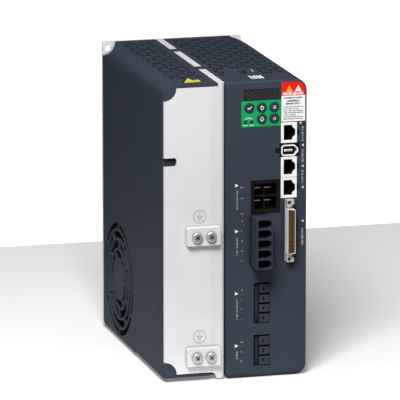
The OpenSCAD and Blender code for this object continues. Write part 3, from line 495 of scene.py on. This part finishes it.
# the thin key ribs near the mouth of each chamber of the bus socket, painted grey on the black as painted
# highlights
ribLook = dict(left=3.0, pitch=8.2, columns=2, heights=(20.6, 10.4), length=5.2, thick=0.55,
               y=1.6, raised=0.8)
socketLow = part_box("dc_bus_socket")[0]
socketX = (socketLow.x - leftEdge) / mm
socketZ = (socketLow.z - baseHeight) / mm
bm = bmesh.new()
for level in ribLook["heights"]:
    for column in range(ribLook["columns"]):
        x = socketX + ribLook["left"] + column * ribLook["pitch"] + ribLook["length"] / 2
        rib = bar(x, socketZ + level, ribLook["length"], ribLook["thick"])
        frontPlate(bm, rib, ribLook["y"], ribLook["raised"])
finishPiece(facedOut(bm), "socketRibs", "rib_highlight_grey")

# the black moulding round the encoder contacts: left and right blocks, the bars over and under, the slit
insertLook = dict(left=(0.75, 1.3, 6.0), right=(0.85, 1.5, 5.0), barAway=2.05, barTall=2.3, barMore=0.4,
                  y=2.2, raised=1.9, slitX=0.4, slitZ=-0.35, slitLess=2.6, slitTall=0.4, slitY=0.4,
                  slitRaised=0.06)
encoderLow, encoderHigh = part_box("encoder_tongue")
coreX, coreZ = frontMiddle("encoder_tongue")
coreWide = (encoderHigh.x - encoderLow.x) / mm
bm = bmesh.new()
for side, (away, width, height) in ((-1, insertLook["left"]), (1, insertLook["right"])):
    block = bar(coreX + side * coreWide / 2 + side * away, coreZ, width, height)
    frontPlate(bm, block, insertLook["y"], insertLook["raised"])
barWide = coreWide + insertLook["barMore"]
for side in (1, -1):
    block = bar(coreX, coreZ + side * insertLook["barAway"], barWide, insertLook["barTall"])
    frontPlate(bm, block, insertLook["y"], insertLook["raised"])
finishPiece(facedOut(bm), "encoderInsert", "black_plastic")
bm = bmesh.new()
slit = bar(coreX + insertLook["slitX"], coreZ + insertLook["slitZ"], coreWide - insertLook["slitLess"],
           insertLook["slitTall"])
frontPlate(bm, slit, insertLook["slitY"], insertLook["slitRaised"])
finishPiece(facedOut(bm), "encoderSlit", "black_ink")

# printed arrows: half sizes in millimetres, the left column points right and the right column left
arrowLook = dict(x=59.9, z=(155.7, 118.8, 68.6, 26.2), half=1.4, smallWide=0.84, smallTall=0.98,
                 small=((113.4, 185.3), (113.4, 168.5), (113.4, 151.5), (113.4, 124.2), (111.4, 203.2)))
bm = bmesh.new()
x, half = arrowLook["x"], arrowLook["half"]
for z in arrowLook["z"]:
    frontPlate(bm, [(x - half, z - half), (x + half, z), (x - half, z + half)])
wide, tall = arrowLook["smallWide"], arrowLook["smallTall"]
for x, z in arrowLook["small"]:
    frontPlate(bm, [(x + wide, z - tall), (x + wide, z + tall), (x - wide, z)])
finishPiece(facedOut(bm), "connectorArrows", "white_ink")

# the words up the right edge, each from its foot with its length
wordLook = dict(x=113.4, height=1.5, gap=1.2, seed=31,
                words=((188.6, 12.0), (171.6, 11.0), (154.6, 11.0), (104.5, 15.5)))
bm = bmesh.new()
for count, (z, length) in enumerate(wordLook["words"]):
    seed = wordLook["seed"] + count
    wordStrokes(bm, wordLook["x"], z, length, wordLook["height"], seed, gap=wordLook["gap"])
finishPiece(facedOut(bm), "connectorWords", "faded_ink")

# the words beside the power connectors and a mark for each pole: plug, first height, pitch, poles, length
poleLook = dict(wordX=60.2, height=1.3, seed=11,
                words=((136.2, 15.5), (99.5, 14.5), (47.5, 17.5), (15.5, 7.0)),
                poleX=64.2, poleSeed=51, poles=((154.0, 3.2), (145.3, 2.4), (133.0, 2.4)),
                plugs=(("mains_plug", 4, 8.05, 5, 1.2), ("motor_plug", 3.9, 7.75, 4, 1.2),
                       ("brake_plug", 3.9, 7.75, 3, 2.2)))
bm = bmesh.new()
for count, (z, length) in enumerate(poleLook["words"]):
    wordStrokes(bm, poleLook["wordX"], z, length, poleLook["height"], poleLook["seed"] + count)
polePlaces = list(poleLook["poles"])
for node, first, pitch, poles, length in poleLook["plugs"]:
    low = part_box(node)[0].z / mm
    polePlaces += [(low + first + pitch * pole, length) for pole in range(poles)]
for count, (z, length) in enumerate(polePlaces):
    seed = poleLook["poleSeed"] + count
    wordStrokes(bm, poleLook["poleX"] - length / 2, z, length, poleLook["height"], seed, upright=False)
finishPiece(facedOut(bm), "poleMarks", "grey_ink")
print("printed marks made")

# the earth signs cast into the plate: a ring, a stem and three bars, painted darker than the plate as painted
# shade along their relief
earthLook = dict(x=29.7, z=(132.6, 35.9), radius=5.0, stroke=0.45, raised=0.3, sunk=0.02,
                 stemUp=1.9, stem=3.2, bars=((0.1, 5.4), (-1.2, 3.6), (-2.5, 1.8)), barRaised=0.28)
bm = bmesh.new()
x, stroke, sunk = earthLook["x"], earthLook["stroke"], earthLook["sunk"]
for z in earthLook["z"]:
    frontRing(bm, x, z, earthLook["radius"], stroke, sunk, earthLook["raised"])
    frontPlate(bm, bar(x, z + earthLook["stemUp"], stroke, earthLook["stem"]), sunk, earthLook["raised"])
    for up, width in earthLook["bars"]:
        frontPlate(bm, bar(x, z + up, width, stroke), sunk, earthLook["barRaised"])
finishPiece(facedOut(bm), "earthSigns", "emboss_shade_grey")

# unlit seven-segment digits behind the window, each with its dot
digitLook = dict(count=5, firstX=67.7, pitch=5.5, z=224.4, bar=0.62, length=2.3, width=2.9, raised=0.03,
                 levelLess=0.3, postLess=0.1, dotX=1.1, dot=0.5)
stroke = digitLook["bar"]
across = digitLook["width"] + stroke
step = digitLook["length"] + stroke
levelWide = digitLook["width"] - digitLook["levelLess"]
postTall = digitLook["length"] - digitLook["postLess"]
bm = bmesh.new()
for digit in range(digitLook["count"]):
    x0 = digitLook["firstX"] + digit * digitLook["pitch"]
    segmentBars = []
    for level in range(3):
        z = digitLook["z"] + level * step
        segmentBars.append((x0 + across / 2 + stroke / 2, z, levelWide, stroke))
    for side in range(2):
        for level in range(2):
            z = digitLook["z"] + level * step + step / 2
            segmentBars.append((x0 + side * across + stroke / 2, z, stroke, postTall))
    segmentBars.append((x0 + across + digitLook["dotX"], digitLook["z"], digitLook["dot"], digitLook["dot"]))
    for segment in segmentBars:
        frontPlate(bm, bar(*segment), 0.0, digitLook["raised"])
finishPiece(facedOut(bm), "displaySegments", "unlit_segment")

# the signs on the keys, drawn round each key's middle: a tick, arrows up and down, three lines, a ring
keyLook = dict(top=-0.9, raised=0.05,
               bodies={"ok_button": "ok_key", "up_button": "up_key", "mode_button": "mode_key",
                       "down_button": "down_key", "set_button": "set_key"},
               tick=(((-1.9, 0.1), (-1.3, 0.6), (-0.5, -0.3), (-0.5, -1.2)),
                     ((-0.5, -1.2), (-0.5, -0.3), (1.5, 1.6), (2.0, 1.1))),
               lines=(-0.9, 0, 0.9), line=(2.3, 0.4), ring=(0.95, 0.38),
               tip=1.9, innerTip=1.15, wing=1.9, innerWing=1.15, foot=0.1, post=(0.85, 0.75, 0.42, 1.7),
               base=(1.5, 1.4, 0.42), postRaised=0.045, baseRaised=0.04)


def arrowSign(bm, x, z, way):
    postX, postDown, postWide, postTall = keyLook["post"]
    baseDown, baseWide, baseTall = keyLook["base"]
    foot = z + way * keyLook["foot"]
    for side in (-1, 1):
        outline = [(x, z + way * keyLook["tip"]), (x + side * keyLook["wing"], foot),
                   (x + side * keyLook["innerWing"], foot), (x, z + way * keyLook["innerTip"])]
        frontPlate(bm, outline[::side * way], keyLook["top"], keyLook["raised"])
        post = bar(x + side * postX, z - way * postDown, postWide, postTall)
        frontPlate(bm, post, keyLook["top"], keyLook["postRaised"])
    frontPlate(bm, bar(x, z - way * baseDown, baseWide, baseTall), keyLook["top"], keyLook["baseRaised"])


for node, body in keyLook["bodies"].items():
    bm = bmesh.new()
    x, z = frontMiddle(node)
    if node == "ok_button":
        for stroke in keyLook["tick"]:
            outline = [(x + right, z + up) for right, up in stroke]
            frontPlate(bm, outline, keyLook["top"], keyLook["raised"])
    elif node == "mode_button":
        for row in keyLook["lines"]:
            frontPlate(bm, bar(x, z + row, *keyLook["line"]), keyLook["top"], keyLook["raised"])
    elif node == "set_button":
        frontRing(bm, x, z, *keyLook["ring"], keyLook["top"], keyLook["raised"])
    else:
        arrowSign(bm, x, z, 1 if node == "up_button" else -1)
    finishPiece(facedOut(bm), body + "Sign", "white_ink", body)

# the arc over the two lights and the dash beside each
lightLook = dict(down=1.2, radius=4.4, stroke=0.45, sweep=84, start=-132, y=-0.2, raised=0.05,
                 dashX=2.6, dashDown=2.6, dash=(3.2, 0.55))
bm = bmesh.new()
lightX, lightZ = frontMiddle("status_lights")
frontRing(bm, lightX, lightZ - lightLook["down"], lightLook["radius"], lightLook["stroke"], lightLook["y"],
          lightLook["raised"], lightLook["sweep"], lightLook["start"])
for side in (-1, 1):
    dash = bar(lightX + side * lightLook["dashX"], lightZ - lightLook["dashDown"], *lightLook["dash"])
    frontPlate(bm, dash, lightLook["y"], lightLook["raised"])
finishPiece(facedOut(bm), "lightMarks", "white_ink")
print("display and keypad marks made")

# the danger label: a red header with two triangles over white paper with rows of small print
# each row is its left end, height, length and stroke height; the outlines are round a triangle's middle
labelLook = dict(headerZ=225.2, y=-0.12, raised=0.04, signY=-0.16, signRaised=0.03,
                 triangleZ=230.9, hotX=102.3, noticeX=109.6, half=2.7, foot=0.9, tip=0.95,
                 bolt=((0.2, 1.2), (-0.7, -0.5), (0, -0.5), (-0.2, -1.9), (0.7, -0.1), (0, -0.1)),
                 notice=((0, -0.1, 0.45, 1.5), (0, -1.5, 0.45, 0.45)),
                 header=(97.0, 226.9, 17.2, 2.4), headerSeed=71, headerGap=0.6,
                 headings=((97.6, 223.5, 15.6, 1.3), (100.2, 221.1, 10.6, 1.5), (99.6, 218.9, 11.8, 1.5)),
                 headingSeed=81, headingGap=0.5, rowX=97.6, rowZ=216.5, rowPitch=1.62, rowHeight=0.95,
                 rows=(16.2, 12.0, 16.6, 15.8, 10.5, 16.4, 15.6), rowSeed=91, rowGap=0.6,
                 footBar=(105.6, 204.4, 19.2, 0.7), footRaised=0.03)


def labelPart(pieceName, finish, height, keepAbove, replaced=()):
    bm = mergedCopy("danger_label")
    cut = bmesh.ops.bisect_plane(bm, geom=bm.verts[:] + bm.edges[:] + bm.faces[:],
                                 dist=mergeLook["same"] * mm, plane_co=at(0, 0, height), plane_no=(0, 0, 1),
                                 clear_inner=keepAbove, clear_outer=not keepAbove)
    rim = [edge for edge in cut["geom_cut"] if isinstance(edge, bmesh.types.BMEdge)]
    bmesh.ops.edgeloop_fill(bm, edges=rim)
    bmesh.ops.recalc_face_normals(bm, faces=bm.faces)
    return finishPiece(bm, pieceName, finish, "drive", replaced)


labelPart("dangerHeader", "danger_print", labelLook["headerZ"], True, ("danger_label",))
labelPart("dangerPaper", "label_paper", labelLook["headerZ"], False)
half = labelLook["half"]
z = labelLook["triangleZ"]
low, high = z - half * labelLook["foot"], z + half * labelLook["tip"]
for name, finish, x in (("hotTriangle", "amber_print", labelLook["hotX"]),
                        ("noticeTriangle", "label_paper", labelLook["noticeX"])):
    bm = bmesh.new()
    frontPlate(bm, [(x - half, low), (x + half, low), (x, high)], labelLook["y"], labelLook["raised"])
    finishPiece(facedOut(bm), name, finish)
bm = bmesh.new()
bolt = [(labelLook["hotX"] + right, z + up) for right, up in labelLook["bolt"]]
frontPlate(bm, bolt, labelLook["signY"], labelLook["signRaised"])
for right, up, width, height in labelLook["notice"]:
    mark = bar(labelLook["noticeX"] + right, z + up, width, height)
    frontPlate(bm, mark, labelLook["signY"], labelLook["signRaised"])
finishPiece(facedOut(bm), "triangleSigns", "black_ink")
bm = bmesh.new()
wordStrokes(bm, *labelLook["header"], labelLook["headerSeed"], upright=False, y=labelLook["y"],
            gap=labelLook["headerGap"])
finishPiece(facedOut(bm), "headerStrokes", "white_ink")
bm = bmesh.new()
for count, heading in enumerate(labelLook["headings"]):
    wordStrokes(bm, *heading, labelLook["headingSeed"] + count, upright=False, y=labelLook["y"],
                gap=labelLook["headingGap"])
finishPiece(facedOut(bm), "labelHeadings", "black_ink")
bm = bmesh.new()
for count, length in enumerate(labelLook["rows"]):
    z = labelLook["rowZ"] - labelLook["rowPitch"] * count
    wordStrokes(bm, labelLook["rowX"], z, length, labelLook["rowHeight"], labelLook["rowSeed"] + count,
                upright=False, y=labelLook["y"], gap=labelLook["rowGap"])
finishPiece(facedOut(bm), "labelStrokes", "small_print")
bm = bmesh.new()
frontPlate(bm, bar(*labelLook["footBar"]), labelLook["y"], labelLook["footRaised"])
finishPiece(facedOut(bm), "labelFoot", "dark_red_print")
print("danger label made")

# the small yellow label and the print on top, as outlines across and back
topLook = dict(backing=((18.8, 8.2), (34.2, 8.2), (34.2, 18.4), (30.8, 20.4), (28.4, 27.4), (25.2, 27.4),
                        (18.8, 11.6)),
               yellow=(((19.8, 9.2), (30.2, 9.2), (26.8, 26.2)),
                       ((30.6, 10.2), (33.6, 10.2), (33.6, 17.6), (29.4, 17.6))),
               strokes=(1.1, 0.8, 1.2, 0.9, 1.2, 1.0, 1.2), strokeX=75.0, strokePitch=1.52,
               strokeY=(11, 23.5), drops=3, tick=((83.5, 38), (84.5, 38), (85.0, 47), (84.0, 47)),
               backingRaised=0.06, raised=0.05)
topZ = (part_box("side_casing")[1].z - baseHeight) / mm
bm = bmesh.new()
topPlate(bm, topLook["backing"], topZ, topLook["backingRaised"])
finishPiece(facedOut(bm), "topLabelBacking", "black_ink", "drive", ("top_label",))
bm = bmesh.new()
for outline in topLook["yellow"]:
    topPlate(bm, outline, topZ + topLook["backingRaised"], topLook["raised"])
finishPiece(facedOut(bm), "topLabelPrint", "yellow_print")
bm = bmesh.new()
front, back = topLook["strokeY"]
for count, width in enumerate(topLook["strokes"]):
    x0 = topLook["strokeX"] + count * topLook["strokePitch"]
    end = back - count % topLook["drops"]
    topPlate(bm, [(x0, front), (x0 + width, front), (x0 + width, end), (x0, end)], topZ, topLook["raised"])
finishPiece(facedOut(bm), "topPrint", "white_ink")
bm = bmesh.new()
topPlate(bm, topLook["tick"], topZ, topLook["raised"])
finishPiece(facedOut(bm), "topTick", "faded_ink")
print("top label made")

# aim in the drive's millimetres, the angles in degrees, distance in metres, lens and sensor in millimetres
viewLook = dict(aim=(30.0, 0.0, 145.9), azimuth=15.23, elevation=12.6, distance=3.913, lens=450.7, sensor=36,
                clip=(0.05, 60))
azimuth, elevation = math.radians(viewLook["azimuth"]), math.radians(viewLook["elevation"])
forward = Vector((math.sin(azimuth) * math.cos(elevation), math.cos(azimuth) * math.cos(elevation),
                  -math.sin(elevation)))
cameraData = bpy.data.cameras.new("camera")
cameraData.lens = viewLook["lens"]
cameraData.sensor_width = viewLook["sensor"]
cameraData.clip_start, cameraData.clip_end = viewLook["clip"]
camera = bpy.data.objects.new("camera", cameraData)
bpy.context.scene.collection.objects.link(camera)
camera.location = at(*viewLook["aim"]) - forward * viewLook["distance"]
camera.rotation_mode = "QUATERNION"
camera.rotation_quaternion = forward.to_track_quat("-Z", "Y")
bpy.context.scene.camera = camera

# two soft lamps, in metres
lampLooks = {
    "keySoftbox": dict(place=(-0.34, -0.86, 0.98), aim=(0, -0.05, 0.21), size=0.42, watts=18.4),
    "topSoftbox": dict(place=(-0.2, -0.3, 2.1), aim=(0, -0.1, 0.1), size=1.0, watts=6),
}
for name, look in lampLooks.items():
    lampData = bpy.data.lights.new(name, "AREA")
    lampData.energy = look["watts"]
    lampData.size = look["size"]
    lamp = bpy.data.objects.new(name, lampData)
    bpy.context.scene.collection.objects.link(lamp)
    lamp.location = look["place"]
    lamp.rotation_mode = "QUATERNION"
    lamp.rotation_quaternion = (Vector(look["aim"]) - Vector(look["place"])).to_track_quat("-Z", "Y")

# the studio is bright in front, dim behind, and plain white where it is seen directly
worldLook = dict(front=0.20, behind=0.04, seen=1.3, forward=(0.6, 0.8, 0.0), spread=0.7)
world = bpy.data.worlds.new("studio")
world.use_nodes = True
tree = world.node_tree
background = tree.nodes["Background"]
background.inputs["Color"].default_value = (1, 1, 1, 1)
around = addNode(tree, "ShaderNodeTexCoord", (-1000, 0))
facing = addNode(tree, "ShaderNodeVectorMath", (-800, 0), operation="DOT_PRODUCT")
facing.inputs[1].default_value = worldLook["forward"]
tree.links.new(around.outputs["Generated"], facing.inputs[0])
fade = addNode(tree, "ShaderNodeMapRange", (-600, 0), interpolation_type="SMOOTHSTEP")
fade.inputs["From Min"].default_value = -worldLook["spread"]
fade.inputs["From Max"].default_value = worldLook["spread"]
fade.inputs["To Min"].default_value = worldLook["front"]
fade.inputs["To Max"].default_value = worldLook["behind"]
tree.links.new(facing.outputs["Value"], fade.inputs["Value"])
rays = addNode(tree, "ShaderNodeLightPath", (-600, 300))
strength = addNode(tree, "ShaderNodeMix", (-300, 100))
tree.links.new(rays.outputs["Is Camera Ray"], strength.inputs["Factor"])
tree.links.new(fade.outputs["Result"], strength.inputs["A"])
strength.inputs["B"].default_value = worldLook["seen"]
tree.links.new(strength.outputs["Result"], background.inputs["Strength"])
bpy.context.scene.world = world
bpy.context.scene.view_settings.view_transform = "Standard"

# a plain pale floor just under the base: half its side in metres, its gap in millimetres
floorLook = dict(half=0.3, squares=4, gap=0.3, colour=(0.82, 0.82, 0.82), tint=(0.80, 0.80, 0.80),
                 edge=(0.9, 0.9, 0.9), grain=3, mottle=400, bump=0.01, rough=(0.6, 0.7), gloss=0.2, glow=0.19)
bm = bmesh.new()
squares = floorLook["squares"]
bmesh.ops.create_grid(bm, x_segments=squares, y_segments=squares, size=floorLook["half"])
bmesh.ops.translate(bm, verts=bm.verts, vec=(0, 0, baseHeight - floorLook["gap"] * mm))
floorMesh = bpy.data.meshes.new("floor")
bm.to_mesh(floorMesh)
bm.free()
floorMesh.materials.append(makeFinish("floor", floorLook))
floor = bpy.data.objects.new("floor", floorMesh)
bpy.context.scene.collection.objects.link(floor)
print("camera, lights and floor made")
